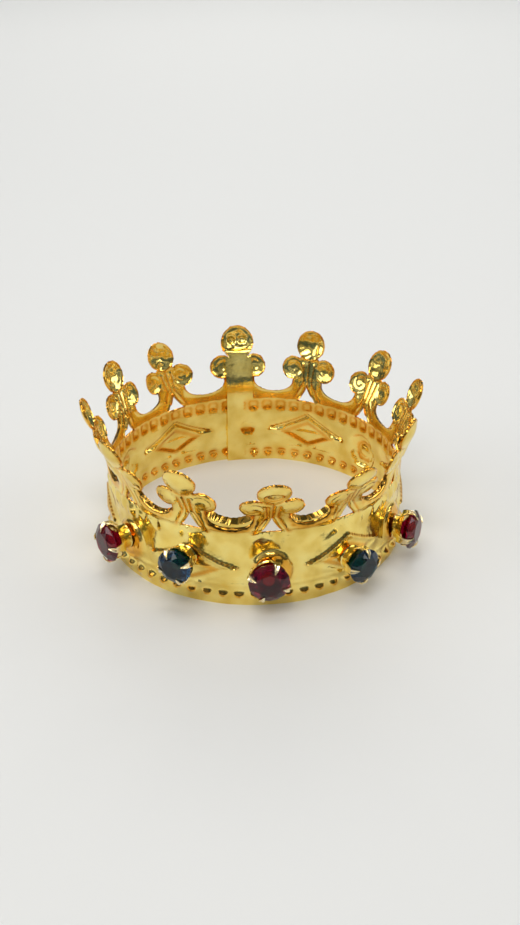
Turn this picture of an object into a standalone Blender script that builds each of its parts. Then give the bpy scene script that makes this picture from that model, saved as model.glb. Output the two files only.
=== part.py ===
"""A small ring crown of stamped gilt brass strip, with five claw-set glass stones.

The strip is drawn flat, u along it and v up it, meshed there, and then rolled up.
The crown's front faces -Y and it stands on z = 0. All sizes are in metres.
"""
import math

import bmesh
import bpy
from mathutils import Matrix, Vector
from mathutils.geometry import delaunay_2d_cdt

# The ring
RING_RADIUS = 0.0325            # outer face of the band at its foot
NARROWING = 0.0007              # how much smaller the radius is at the band's upper edge
UNITS = 12                      # fleurons round the ring
SHEET = 0.0006                  # thickness of the strip
BAND_HEIGHT = 0.0169

# The pierced cresting, drawn flat from the middle of one fleuron
VALLEY_HEIGHT = 0.0190          # lowest point of the scroll between two fleurons
SCROLL_HALF_WIDTH = 0.00475
SCROLL_DEPTH = 0.0026
SCROLL_CREST = 0.0011           # from the scroll's edge to its crest line
SIDE_LOBE_OFFSET = 0.00405
SIDE_LOBE_HEIGHT = 0.0249
SIDE_LOBE_RADIUS = 0.0027
TOP_LOBE_HEIGHT = 0.0305
TOP_LOBE_RADIUS = 0.0035
LOBE_CREST = 0.62               # share of a lobe's radius where its rim is highest
STEM_RIB_OFFSET = 0.0013
STEM_RIB_FOOT = 0.0225
STEM_RIB_TOP = 0.0255
EYELET_HALF_BASE = 0.0024       # triangular opening under each fleuron
EYELET_APEX = 0.0207
EYELET_BOW = 0.0003             # how far its slanting sides curve inwards

# The cresting is bent by hand: for each fleuron from the front, how far it leans out and how
# far it sways along the ring, in degrees
BEND_START = 0.0175
BEND_LENGTH = 0.0050
BEND_HOLD = 0.0045              # half the width that keeps its fleuron's own bend
LEANS = (33, 35, 19, 24, 28, 20, 25, 12, 24, 23, 24, 26)
SWAYS = (0, -5, 0, 6, 1, 2, 0, 10, -10, -5, 0, 0)

# The embossed pattern of the band
BEADS = 5                       # beads to one fleuron, in each row
BEAD_RADIUS = 0.00115
BEAD_RELIEF = 0.0006
LOWER_BEADS = 0.0022
UPPER_BEADS = 0.0149
PANEL_HEIGHT = 0.0084           # middle of the bosses and the lozenges
BOSS_OUTER_RADIUS = 0.0049
BOSS_RIM_RADIUS = 0.0042
BOSS_GROOVE_RADIUS = 0.0033
BOSS_DOME_RADIUS = 0.0017
BOSS_RIM_RELIEF = 0.0006
BOSS_RELIEF = 0.0009
LOZENGE_HALF_WIDTH = 0.0064
LOZENGE_HALF_HEIGHT = 0.0031
LOZENGE_BEVEL = 0.78            # share of the lozenge that its raised top takes
LOZENGE_RELIEF = 0.0007
FRAME_HALF_WIDTH = 0.0103       # long pointed outline round each lozenge
FRAME_HALF_HEIGHT = 0.0048
FRAME_RIDGE = 0.0006            # how far inside its foot the outline's ridge runs
FRAME_RELIEF = 0.0004

# The embossed relief of the cresting
SCROLL_RELIEF = 0.0008
LOBE_RELIEF = 0.0008
EYE_RELIEF = 0.0002
STEM_RELIEF = 0.0002

# The lap at the back, where one end of the strip lies inside the other and closes the opening
# under the fleuron
LAP_UNIT = 6
LAP_HALF_WIDTH = 0.0033
LAP_LOBE_RADIUS = 0.0040        # the doubled top lobe, which shows both ends
LAP_STEP = 0.0002               # how steeply the two ends stand

# The stones: name, fleuron, glass, turn round the ring in degrees, height, extra reach
# outwards, and the direction of the first claw in degrees
STONES = (
    ("front", 0, "red", -1.8, 0.0086, 0.0000, 68),
    ("right_blue", 1, "blue", 0.4, 0.0078, 0.0003, 85),
    ("right_red", 2, "red", -0.8, 0.0075, -0.0003, 98),
    ("left_blue", 11, "blue", -1.6, 0.0106, 0.0005, 113),
    ("left_red", 10, "red", -0.8, 0.0091, 0.0005, 95),
)
STONE_RADIUS = {"red": 0.00425, "blue": 0.00375}
SEAT_RELIEF = {"red": BOSS_RELIEF, "blue": LOZENGE_RELIEF}
STONE_SIDES = 16
TABLE_SIDES = 8
TABLE_SHARE = 0.58
CROWN_RISE = 0.0011             # from a stone's girdle up to its table
GIRDLE_DEPTH = 0.0003
PAVILION_DEPTH = 0.0030

# The claw settings, measured outwards from the band
GAP = 0.0003                    # between pieces that touch on the real crown
SETTING_SIDES = 12
CLAWS = 4
STEM_RADIUS = 0.0025
STEM_LENGTH = 0.0010
CUP_SHOULDER_RADIUS = 0.0033
CUP_SHOULDER = 0.0006           # height of the shoulder above the stem
CUP_DEPTH = 0.0021
CUP_INSET = 0.0003              # the cup's rim lies this far inside the girdle
CUP_WALL = 0.0004
BORE_RADIUS = 0.0018
BORE_FLOOR = 0.0005
BORE_LENGTH = 0.0009
GIRDLE_ABOVE_CUP = 0.0010
CLAW_THICKNESS = 0.0004
CLAW_RISE = 0.0003              # the claw's shoulder stands this far above the girdle
CLAW_REACH = 0.0013             # from the claw's outside to its tip over the stone
CLAW_TIP_SHARE = 0.35           # width of the tip as a share of the claw's foot

# Worked out from the sizes above
PITCH = 2 * math.pi * RING_RADIUS / UNITS
START = -PITCH / 2
END = START + UNITS * PITCH
BEAD_PITCH = PITCH / BEADS
TAPER = math.atan2(NARROWING, BAND_HEIGHT)
SAME = 1e-6

GOLD = ("gilt_brass", (0.93, 0.69, 0.26), 0.16, 1.0, 0.0)
GLASS = {
    "red": ("red_glass", (0.30, 0.01, 0.03), 0.03, 0.0, 0.6),
    "blue": ("blue_glass", (0.01, 0.06, 0.13), 0.03, 0.0, 0.6),
}


def clear_scene():
    for thing in list(bpy.data.objects):
        bpy.data.objects.remove(thing, do_unlink=True)


def material(name, colour, roughness, metallic, transmission):
    found = bpy.data.materials.get(name)
    if found:
        return found
    made = bpy.data.materials.new(name)
    made.use_nodes = True
    shader = made.node_tree.nodes["Principled BSDF"]
    shader.inputs["Base Color"].default_value = (*colour, 1.0)
    shader.inputs["Roughness"].default_value = roughness
    shader.inputs["Metallic"].default_value = metallic
    shader.inputs["Transmission Weight"].default_value = transmission
    return made


# Outlines of one fleuron, u measured from its middle

def arc(centre, radius_u, radius_v, start, end, steps):
    """Points along an elliptical arc, angles in degrees."""
    points = []
    for step in range(steps + 1):
        angle = math.radians(start + (end - start) * step / steps)
        points.append((centre[0] + radius_u * math.cos(angle), centre[1] + radius_v * math.sin(angle)))
    return points


def circle(centre, radius, steps):
    return arc(centre, radius, radius, 0, 360, steps)[:-1]


def mirrored(points):
    return [(-u, v) for u, v in reversed(points)]


def top_lobe_radius(unit):
    return LAP_LOBE_RADIUS if unit == LAP_UNIT else TOP_LOBE_RADIUS


def crest_outline(unit):
    """The upper edge from the left valley over the three lobes to the right valley."""
    radius = top_lobe_radius(unit)
    shoulder = math.degrees(math.atan2(TOP_LOBE_HEIGHT - SIDE_LOBE_HEIGHT, -SIDE_LOBE_OFFSET))
    top = arc((0, TOP_LOBE_HEIGHT), radius, radius, 90, shoulder - 180, 5)
    side = arc((SIDE_LOBE_OFFSET, SIDE_LOBE_HEIGHT), SIDE_LOBE_RADIUS, SIDE_LOBE_RADIUS, shoulder, -96, 7)
    scroll = arc((PITCH / 2, VALLEY_HEIGHT + SCROLL_DEPTH), SCROLL_HALF_WIDTH, SCROLL_DEPTH, 186, 270, 4)
    right = top + side + scroll
    return mirrored(right) + right[1:]


def eyelet_outline():
    """The triangular opening between the feet of two scrolls."""
    side = []
    for step in range(4):
        share = step / 3
        bow = EYELET_BOW * 4 * share * (1 - share)
        side.append((EYELET_HALF_BASE * (1 - share) - bow, BAND_HEIGHT + (EYELET_APEX - BAND_HEIGHT) * share))
    return side + mirrored(side)[1:]


def unit_outline(unit):
    """The whole face of one fleuron and the band under it."""
    return [(-PITCH / 2, 0.0)] + crest_outline(unit) + [(PITCH / 2, 0.0)]


def contains(polygon, point):
    """Whether a point lies inside a polygon, by counting crossings."""
    inside = False
    for (u1, v1), (u2, v2) in zip(polygon, polygon[1:] + polygon[:1]):
        if (v1 > point[1]) != (v2 > point[1]):
            crossing = u1 + (point[1] - v1) / (v2 - v1) * (u2 - u1)
            if point[0] < crossing:
                inside = not inside
    return inside


# The flat drawing: points with the relief that each has, joined by lines

class Drawing:
    def __init__(self):
        self.points = []
        self.relief = []
        self.edges = []
        self.index = {}

    def point(self, unit, place, relief):
        u = unit * PITCH + place[0]
        key = (round(u / SAME), round(place[1] / SAME))
        if key not in self.index:
            self.index[key] = len(self.points)
            self.points.append((u, place[1]))
            self.relief.append(relief)
        return self.index[key]

    def line(self, unit, places, relief, closed=False):
        found = [self.point(unit, place, relief) for place in places]
        if closed:
            found.append(found[0])
        self.edges += [pair for pair in zip(found, found[1:]) if pair[0] != pair[1]]

    def relief_on_a_line(self, place):
        """The relief where a line of the lap crosses a line of the pattern."""
        for first, second in self.edges:
            a = Vector(self.points[first])
            b = Vector(self.points[second])
            share = (place - a).dot(b - a) / (b - a).length_squared
            if -SAME < share < 1 + SAME and (a.lerp(b, share) - place).length < SAME:
                heights = (self.relief[first], self.relief[second])
                if None not in heights:
                    return heights[0] + (heights[1] - heights[0]) * share
        return 0.0


def rhombus(half_width, half_height):
    """Its four corners and the middles of its sides, from the top corner on."""
    right = [(0, half_height), (half_width / 2, half_height / 2), (half_width, 0),
             (half_width / 2, -half_height / 2), (0, -half_height)]
    return right + mirrored(right)[1:-1]


def frame_lines(half_width, half_height):
    """A long rhombus as the lines in its own unit and the tips in the units beside it."""
    border = PITCH / 2
    if half_width <= border:
        corners = rhombus(half_width, half_height)
        return [corners + corners[:1]], []
    cut = half_height * (1 - border / half_width)
    side = [(0, half_height), (border / 2, (half_height + cut) / 2), (border, cut)]
    own = [[(u * across, v * up) for u, v in side] for across in (1, -1) for up in (1, -1)]
    tip = [(-border, cut), (half_width - PITCH, 0), (-border, -cut)]
    return own, [tip, mirrored(tip)]


def frames():
    """The foot and the ridge of the pointed outline, each with its relief."""
    share = 1 - FRAME_RIDGE / FRAME_HALF_HEIGHT
    yield frame_lines(FRAME_HALF_WIDTH, FRAME_HALF_HEIGHT), 0.0
    yield frame_lines(FRAME_HALF_WIDTH * share, FRAME_HALF_HEIGHT * share), FRAME_RELIEF


def in_panel(points):
    return [(u, v + PANEL_HEIGHT) for u, v in points]


def draw_beads(drawing, unit):
    for height in (LOWER_BEADS, UPPER_BEADS):
        for number in range(BEADS):
            middle = (number - (BEADS - 1) / 2) * BEAD_PITCH
            sides = [(middle - BEAD_PITCH / 2, height), (middle, height + BEAD_RADIUS),
                     (middle + BEAD_PITCH / 2, height), (middle, height - BEAD_RADIUS)]
            drawing.line(unit, sides, 0.0, closed=True)
            drawing.point(unit, (middle, height), BEAD_RELIEF)


def draw_boss(drawing, unit):
    rings = ((BOSS_OUTER_RADIUS, 10, 0.0), (BOSS_RIM_RADIUS, 10, BOSS_RIM_RELIEF),
             (BOSS_GROOVE_RADIUS, 10, 0.0), (BOSS_DOME_RADIUS, 6, BOSS_RELIEF))
    for radius, steps, relief in rings:
        drawing.line(unit, in_panel(circle((0, 0), radius, steps)), relief, closed=True)


def draw_lozenge(drawing, unit):
    for (own, _), relief in frames():
        for line in own:
            drawing.line(unit, in_panel(line), relief)
    for share, relief in ((1.0, 0.0), (LOZENGE_BEVEL, LOZENGE_RELIEF)):
        corners = rhombus(LOZENGE_HALF_WIDTH * share, LOZENGE_HALF_HEIGHT * share)
        drawing.line(unit, in_panel(corners), relief, closed=True)


def draw_frame_tips(drawing, unit):
    """The points of the neighbours' outlines, which reach into this unit."""
    for (_, tips), relief in frames():
        for tip in tips:
            drawing.line(unit, in_panel(tip), relief)


def draw_cresting(drawing, unit):
    drawing.line(unit, crest_outline(unit), 0.0)
    if unit != LAP_UNIT:
        drawing.line(unit, eyelet_outline(), 0.0, closed=True)
    crease = [(EYELET_HALF_BASE, BAND_HEIGHT), (PITCH / 2, BAND_HEIGHT)]
    crest = arc((PITCH / 2, VALLEY_HEIGHT + SCROLL_DEPTH), SCROLL_HALF_WIDTH + SCROLL_CREST,
                SCROLL_DEPTH + SCROLL_CREST, 270, 200, 4)
    crest.append((STEM_RIB_OFFSET, STEM_RIB_FOOT))
    crest.append((STEM_RIB_OFFSET, STEM_RIB_TOP))
    drawing.line(unit, crease, 0.0)
    drawing.line(unit, mirrored(crease), 0.0)
    drawing.line(unit, crest, SCROLL_RELIEF)
    drawing.line(unit, mirrored(crest), SCROLL_RELIEF)
    drawing.line(unit, [(0, EYELET_APEX), (0, STEM_RIB_FOOT), (0, STEM_RIB_TOP)], STEM_RELIEF)
    lobes = ((-SIDE_LOBE_OFFSET, SIDE_LOBE_HEIGHT, SIDE_LOBE_RADIUS),
             (SIDE_LOBE_OFFSET, SIDE_LOBE_HEIGHT, SIDE_LOBE_RADIUS),
             (0, TOP_LOBE_HEIGHT, top_lobe_radius(unit)))
    for u, v, radius in lobes:
        drawing.line(unit, circle((u, v), radius * LOBE_CREST, 6), LOBE_RELIEF, closed=True)
        drawing.point(unit, (u, v), EYE_RELIEF)


def draw_strip():
    drawing = Drawing()
    foot = [(START + step * BEAD_PITCH, 0.0) for step in range(UNITS * BEADS + 1)]
    drawing.line(0, foot, 0.0)
    for unit in range(UNITS):
        draw_cresting(drawing, unit)
        draw_beads(drawing, unit)
        if unit % 2:
            draw_lozenge(drawing, unit)
        else:
            draw_frame_tips(drawing, unit)
            if unit != LAP_UNIT:
                draw_boss(drawing, unit)
    for edge in (START, END):
        ends = sorted({v for u, v in drawing.points if abs(u - edge) < SAME})
        drawing.line(0, [(edge, v) for v in ends], 0.0)
    above = TOP_LOBE_HEIGHT + 2 * LAP_LOBE_RADIUS
    for edge in (-LAP_HALF_WIDTH - LAP_STEP, -LAP_HALF_WIDTH, LAP_HALF_WIDTH, LAP_HALF_WIDTH + LAP_STEP):
        low = drawing.point(LAP_UNIT, (edge, 0.0), 0.0)
        high = drawing.point(LAP_UNIT, (edge, above), None)
        drawing.edges.append((low, high))
    return drawing


# From the flat drawing to the rolled ring

def bend_at(u, bends):
    """The cresting's lean or sway at a place along the strip, in radians."""
    unit = math.floor((u - START) / PITCH) % UNITS
    local = (u - START) % PITCH - PITCH / 2
    share = max(0.0, (abs(local) - BEND_HOLD) / (PITCH / 2 - BEND_HOLD))
    share = min(1.0, share)
    share = share * share * (3 - 2 * share)
    neighbour = (unit + (1 if local > 0 else -1)) % UNITS
    bend = bends[unit] + (bends[neighbour] - bends[unit]) * share / 2
    return math.radians(bend)


def profile(v, lean):
    """Radius, height and tilt of the strip's outer face at v."""
    if v <= BEND_START:
        return RING_RADIUS - v * math.sin(TAPER), v * math.cos(TAPER), 0.0
    turn = lean + TAPER
    bent = min(v - BEND_START, BEND_LENGTH)
    tilt = turn * bent / BEND_LENGTH
    direction = tilt - TAPER
    bend_radius = BEND_LENGTH / turn
    rest = max(0.0, v - BEND_START - BEND_LENGTH)
    radius = RING_RADIUS - BEND_START * math.sin(TAPER)
    radius += bend_radius * (math.cos(-TAPER) - math.cos(direction)) + rest * math.sin(direction)
    height = BEND_START * math.cos(TAPER)
    height += bend_radius * (math.sin(direction) - math.sin(-TAPER)) + rest * math.cos(direction)
    return radius, height, tilt


def rolled(u, v, offset):
    """The place on the ring of a point of the flat strip, offset outwards from its face."""
    unit = min(UNITS - 1, math.floor((u - START) / PITCH + SAME))
    lean = bend_at(u, LEANS)
    radius, height, tilt = profile(v, lean)
    spread = max(0.0, radius - profile(VALLEY_HEIGHT, lean)[0]) if v > VALLEY_HEIGHT else 0.0
    along = u - unit * PITCH + max(0.0, v - BEND_START) * math.tan(bend_at(u, SWAYS))
    angle = 2 * math.pi * unit / UNITS + along / (RING_RADIUS + spread)
    radius += offset * math.cos(tilt)
    height -= offset * math.sin(tilt)
    return Vector((radius * math.sin(angle), -radius * math.cos(angle), height))


def lap_shift(u):
    """How far inwards the lap moves the outer and the inner face."""
    local = u - LAP_UNIT * PITCH
    if local <= -PITCH / 2 or local > LAP_HALF_WIDTH + SAME:
        return 0.0, 0.0
    fade = (local + PITCH / 2) / (PITCH / 2 - LAP_HALF_WIDTH - LAP_STEP)
    shift = SHEET * min(1.0, fade)
    outer = shift if local < -LAP_HALF_WIDTH - LAP_STEP + SAME else 0.0
    return outer, shift


def in_lap(u):
    return abs(u - LAP_UNIT * PITCH) <= LAP_HALF_WIDTH + SAME


def strip_mesh():
    """The closed mesh of the strip: both faces and the edge all round them."""
    drawing = draw_strip()
    flat = [Vector(point) for point in drawing.points]
    points, _, faces, origins, _, _ = delaunay_2d_cdt(flat, drawing.edges, [], 0, SAME / 10)
    outlines = [unit_outline(unit) for unit in range(UNITS)]
    eyelet = eyelet_outline()
    kept = []
    for face in faces:
        centre = sum((points[i] for i in face), Vector((0, 0))) / 3
        unit = min(UNITS - 1, max(0, math.floor((centre.x - START) / PITCH)))
        local = (centre.x - unit * PITCH, centre.y)
        pierced = unit != LAP_UNIT and contains(eyelet, local)
        if contains(outlines[unit], local) and not pierced:
            kept.append(face)

    mesh = bmesh.new()
    outer = {}
    inner = {}
    first_column = {round(p.y / SAME): i for i, p in enumerate(points) if abs(p.x - START) < SAME}
    used = sorted({i for face in kept for i in face}, key=lambda i: points[i].x)
    for i in used:
        u, v = points[i]
        if abs(u - END) < SAME:
            twin = first_column[round(v / SAME)]
            outer[i], inner[i] = outer[twin], inner[twin]
            continue
        if origins[i]:
            relief = drawing.relief[origins[i][0]]
        else:
            relief = drawing.relief_on_a_line(points[i])
        back_relief = 0.0 if in_lap(u) else relief
        outer_shift, inner_shift = lap_shift(u)
        outer[i] = mesh.verts.new(rolled(u, v, relief - outer_shift))
        inner[i] = mesh.verts.new(rolled(u, v, back_relief - inner_shift - SHEET))

    borders = {}
    for a, b, c in kept:
        mesh.faces.new((outer[a], outer[b], outer[c]))
        mesh.faces.new((inner[c], inner[b], inner[a]))
        for start, end in ((a, b), (b, c), (c, a)):
            start, end = outer[start], outer[end]
            if (end, start) in borders:
                del borders[(end, start)]
            else:
                borders[(start, end)] = True
    under = {outer[i]: inner[i] for i in outer}
    for start, end in borders:
        mesh.faces.new((end, start, under[start]))
        mesh.faces.new((end, under[start], under[end]))
    return mesh


# Turned and faceted pieces, built round their own axis, local +Z outwards

def ring(mesh, radius, height, sides, turn=0.0):
    corners = []
    for side in range(sides):
        angle = 2 * math.pi * side / sides + turn
        corners.append(mesh.verts.new((radius * math.cos(angle), radius * math.sin(angle), height)))
    return corners


def band_between(mesh, lower, upper):
    """Faces between two rings of as many corners, facing away from the axis going up."""
    count = len(lower)
    faces = []
    for side in range(count):
        after = (side + 1) % count
        faces.append(mesh.faces.new((lower[side], lower[after], upper[after], upper[side])))
    return faces


def cap(mesh, corners, height, upwards):
    centre = mesh.verts.new((0, 0, height))
    for side, corner in enumerate(corners):
        after = corners[(side + 1) % len(corners)]
        mesh.faces.new((corner, after, centre) if upwards else (after, corner, centre))


def cup_rim_height(extra):
    return STEM_LENGTH + extra + CUP_DEPTH


def girdle_height(extra):
    """From the setting's base to the middle of the stone's girdle."""
    return cup_rim_height(extra) + GIRDLE_ABOVE_CUP


def setting_mesh(stone_radius, extra):
    mesh = bmesh.new()
    rim_radius = stone_radius - CUP_INSET
    rim = cup_rim_height(extra)
    stem_top = STEM_LENGTH + extra
    outside = ((STEM_RADIUS, 0.0), (STEM_RADIUS, stem_top),
               (CUP_SHOULDER_RADIUS, stem_top + CUP_SHOULDER), (rim_radius, rim))
    inside = ((rim_radius - CUP_WALL, rim), (BORE_RADIUS, BORE_FLOOR + BORE_LENGTH + extra),
              (BORE_RADIUS, BORE_FLOOR))
    rings = [ring(mesh, radius, height, SETTING_SIDES) for radius, height in outside + inside]
    cap(mesh, rings[0], 0.0, upwards=False)
    walls = [band_between(mesh, lower, upper) for lower, upper in zip(rings, rings[1:])]
    rim_faces = walls[len(outside) - 1]
    cap(mesh, rings[-1], BORE_FLOOR, upwards=True)
    for claw in range(CLAWS):
        middle = (2 * claw + 1) * SETTING_SIDES // (2 * CLAWS)
        grow_claw(mesh, rim_faces[middle], stone_radius, extra)
    return mesh


def grow_claw(mesh, face, stone_radius, extra):
    """Draw one face of the cup's rim out into a claw that folds over the stone."""
    outward = face.calc_center_median()
    outward.z = 0.0
    outward.normalize()
    across = Vector((-outward.y, outward.x, 0.0))
    girdle = girdle_height(extra)
    inner_radius = stone_radius + GAP
    outer_radius = inner_radius + CLAW_THICKNESS
    slope = CROWN_RISE / (stone_radius * (1 - TABLE_SHARE))
    tip_radius = outer_radius - CLAW_REACH
    tip_height = girdle + GIRDLE_DEPTH / 2 + (stone_radius - tip_radius) * slope + GAP * 1.5
    shoulder = girdle + GIRDLE_DEPTH / 2 + CLAW_RISE
    stations = (
        ((inner_radius, girdle - GIRDLE_DEPTH), (outer_radius, girdle - GIRDLE_DEPTH), 0.9),
        ((inner_radius, shoulder), (outer_radius, shoulder + CLAW_THICKNESS / 2), 0.75),
        ((tip_radius, tip_height), (tip_radius, tip_height + CLAW_THICKNESS), CLAW_TIP_SHARE),
    )
    half_width = max(abs(corner.co.dot(across)) for corner in face.verts)
    for inner, outer, share in stations:
        face = bmesh.ops.extrude_discrete_faces(mesh, faces=[face])["faces"][0]
        middle = face.calc_center_median().dot(outward)
        for corner in face.verts:
            side = math.copysign(half_width * share, corner.co.dot(across))
            radius, height = outer if corner.co.dot(outward) > middle else inner
            corner.co = outward * radius + across * side + Vector((0, 0, height))


def stone_mesh(stone_radius):
    """A round cut with its girdle centred on the origin and its table towards +Z."""
    mesh = bmesh.new()
    low = ring(mesh, stone_radius, -GIRDLE_DEPTH / 2, STONE_SIDES)
    high = ring(mesh, stone_radius, GIRDLE_DEPTH / 2, STONE_SIDES)
    table = ring(mesh, stone_radius * TABLE_SHARE, CROWN_RISE + GIRDLE_DEPTH / 2, TABLE_SIDES)
    cap(mesh, low, -PAVILION_DEPTH, upwards=False)
    band_between(mesh, low, high)
    ratio = STONE_SIDES // TABLE_SIDES
    for corner in range(TABLE_SIDES):
        after = (corner + 1) % TABLE_SIDES
        first, middle, last = (high[(corner * ratio + step) % STONE_SIDES] for step in range(ratio + 1))
        mesh.faces.new((first, middle, table[corner]))
        mesh.faces.new((middle, table[after], table[corner]))
        mesh.faces.new((middle, last, table[after]))
    mesh.faces.new(table)
    return mesh


# Objects

def finished(name, mesh, finish, smooth_angle):
    bmesh.ops.triangulate(mesh, faces=mesh.faces[:])
    data = bpy.data.meshes.new(name)
    mesh.to_mesh(data)
    mesh.free()
    data.materials.append(material(*finish))
    thing = bpy.data.objects.new(name, data)
    bpy.context.scene.collection.objects.link(thing)
    if smooth_angle:
        data.shade_smooth()
        data.set_sharp_from_angle(angle=math.radians(smooth_angle))
    return thing


def seat(fleuron, turn, height, distance):
    """Place on the ring, local +Z pointing straight out of it and local +Y up."""
    angle = 2 * math.pi * fleuron / UNITS + math.radians(turn)
    outward = Vector((math.sin(angle), -math.cos(angle), 0.0))
    along = Vector((math.cos(angle), math.sin(angle), 0.0))
    place = outward * distance + Vector((0, 0, height))
    turned = Matrix((along, Vector((0, 0, 1)), outward)).transposed()
    return Matrix.Translation(place) @ turned.to_4x4()


def add_stone(name, fleuron, glass, turn, height, extra, first_claw):
    radius = STONE_RADIUS[glass]
    widest = profile(height - STEM_RADIUS, 0.0)[0]
    base = widest + SEAT_RELIEF[glass] + GAP
    claw_turn = Matrix.Rotation(math.radians(first_claw) - math.pi / CLAWS, 4, "Z")
    setting = finished("setting_" + name, setting_mesh(radius, extra), GOLD, 40)
    setting.matrix_world = seat(fleuron, turn, height, base) @ claw_turn
    stone = finished("stone_" + name, stone_mesh(radius), GLASS[glass], 0)
    stone.matrix_world = seat(fleuron, turn, height, base + girdle_height(extra))
    return setting, stone


def centre_over_footprint(things):
    """Move the crown so that the middle of its footprint is at the origin."""
    bpy.context.view_layer.update()
    corners = [thing.matrix_world @ corner.co for thing in things for corner in thing.data.vertices]
    middle = Vector((0, 0, 0))
    for axis in (0, 1):
        values = [corner[axis] for corner in corners]
        middle[axis] = (min(values) + max(values)) / 2
    for thing in things:
        thing.matrix_world = Matrix.Translation(-middle) @ thing.matrix_world


clear_scene()
crown = [finished("crown_strip", strip_mesh(), GOLD, 35)]
for stone in STONES:
    crown.extend(add_stone(*stone))
centre_over_footprint(crown)
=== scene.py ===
import math

import bmesh
import bpy
import numpy as np
from mathutils import Matrix, Vector, kdtree, noise
from mathutils.geometry import delaunay_2d_cdt


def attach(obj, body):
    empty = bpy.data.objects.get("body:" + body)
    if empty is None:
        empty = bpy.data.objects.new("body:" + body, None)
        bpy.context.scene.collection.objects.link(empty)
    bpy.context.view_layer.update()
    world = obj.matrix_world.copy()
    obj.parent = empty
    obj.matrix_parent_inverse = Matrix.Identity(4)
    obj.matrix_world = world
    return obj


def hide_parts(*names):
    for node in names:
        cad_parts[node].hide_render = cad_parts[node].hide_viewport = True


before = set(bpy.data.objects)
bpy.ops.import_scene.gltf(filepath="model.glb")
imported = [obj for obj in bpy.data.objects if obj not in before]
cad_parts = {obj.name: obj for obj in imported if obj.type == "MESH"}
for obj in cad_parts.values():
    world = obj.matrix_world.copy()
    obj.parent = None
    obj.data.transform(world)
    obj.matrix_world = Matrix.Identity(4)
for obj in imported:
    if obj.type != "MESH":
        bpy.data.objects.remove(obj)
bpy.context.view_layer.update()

BODY = "root"

# The ring, as in the frame; lengths in metres
UNITS = 12                      # fleurons round the ring
RING_RADIUS = 0.0325
NARROWING = 0.0007              # how much smaller the radius is at the band's upper edge
BAND_HEIGHT = 0.0169
SHEET = 0.00045
STEM_SHEET = 0.0006             # the frame's own sheet, which the lap's steps follow

# The cresting, drawn flat from the middle of one fleuron
VALLEY_HEIGHT = 0.0190
SCROLL_HALF_WIDTH = 0.00475
SCROLL_DEPTH = 0.0026
SIDE_LOBE_OFFSET = 0.00405
SIDE_LOBE_HEIGHT = 0.0249
SIDE_LOBE_RADIUS = 0.0027
TOP_LOBE_HEIGHT = 0.0305
TOP_LOBE_RADIUS = 0.0035
EYELET_HALF_BASE = 0.0024
EYELET_APEX = 0.0207
EYELET_BOW = 0.0003
LEG_WIDTH = 0.0010

# How far each fleuron leans out and sways, from the front one on, in degrees. Most start from a
# least-squares fit to places read off the photo, rounded, and some were then changed
BEND_START = 0.0175
BEND_LENGTH = 0.0050
BEND_HOLD = 0.0045
LEANS = (33, 35, 19, 24, 28, 20, 25, 12, 24, 23, 24, 26)
SWAYS = (0, -5, 0, 6, 1, 2, 0, 10, -10, -5, 0, 0)

# The embossed band
BEADS = 5                       # beads to one fleuron, in each row
LOWER_BEADS = 0.0024
UPPER_BEADS = 0.0152
OUTER_BEADS = 0.35              # how much of the upper row shows on the outer face in front
SIDE_BEADS = 0.90               # and at the sides and the back
BAND_FADE = 0.0009              # over which the relief ends at the band's upper edge
WORN_FRONT = 0.0170             # how far from the front fleuron the band is worn smooth
PANEL_HEIGHT = 0.0082
SHADED_BOSSES = (0, 2, 10)        # the bosses under the front stones, browner with painted shade from the stones
BOSS_SHADE = 0.30
OUTER_LOZENGE = (0.0066, 0.0033)        # half width and half height of the plateau
INNER_LOZENGE = (0.0072, 0.0035)        # and as it shows on the inner face
INNER_LOZENGE_DROP = 0.0003
FRAME_HALF_WIDTH = 0.0103
FRAME_HALF_HEIGHT = 0.0047
FRAME_BOW = 0.0005

# The lap at the back
LAP_UNIT = 6
LAP_HALF_WIDTH = 0.0033
LAP_LOBE_RADIUS = 0.0040
LAP_STEP = 0.0002
LAP_DIMPLE_OFFSET = 0.0018
LAP_DIMPLE_HEIGHT = 0.0091
LAP_DIMPLE_RADIUS = 0.0021
LAP_DIMPLE_DEPTH = 0.0008
LAP_PLAIN = -0.0010             # where the bead rows start again behind the lap

# The mesh of the strip
EDGE_STEP = 0.00029             # between points along cut edges
CREST_GRID = 0.00031
BAND_GRID = 0.00047
LINE_CLEARANCE = 0.45           # share of the grid kept clear beside a drawn line
SAME = 1e-6

# The stones, as in the frame: name, fleuron, glass, turn, height, extra reach, first claw. Turns
# and heights follow a least-squares fit to the photo
STONES = (
    ("front", 0, "red", -1.8, 0.0086, 0.0000, 68),
    ("right_blue", 1, "blue", 0.4, 0.0078, 0.0003, 85),
    ("right_red", 2, "red", -0.8, 0.0075, -0.0003, 98),
    ("left_blue", 11, "blue", -1.6, 0.0106, 0.0005, 113),
    ("left_red", 10, "red", -0.8, 0.0091, 0.0005, 95),
)
STONE_RADIUS = {"red": 0.00425, "blue": 0.00375}

PITCH = 2 * math.pi * RING_RADIUS / UNITS
START = -PITCH / 2
END = START + UNITS * PITCH
BEAD_PITCH = PITCH / BEADS
TAPER = math.atan2(NARROWING, BAND_HEIGHT)


def ring_centre():
    """The middle of the ring's foot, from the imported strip."""
    foot = [v.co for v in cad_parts["crown_strip"].data.vertices if v.co.z < SAME]
    xs = [co.x for co in foot]
    ys = [co.y for co in foot]
    return Vector(((min(xs) + max(xs)) / 2, (min(ys) + max(ys)) / 2, 0.0))


CENTRE = ring_centre()


# Node helpers

def new_material(name):
    made = bpy.data.materials.new(name)
    made.use_nodes = True
    return made, made.node_tree.nodes, made.node_tree.links, made.node_tree.nodes["Principled BSDF"]


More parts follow.
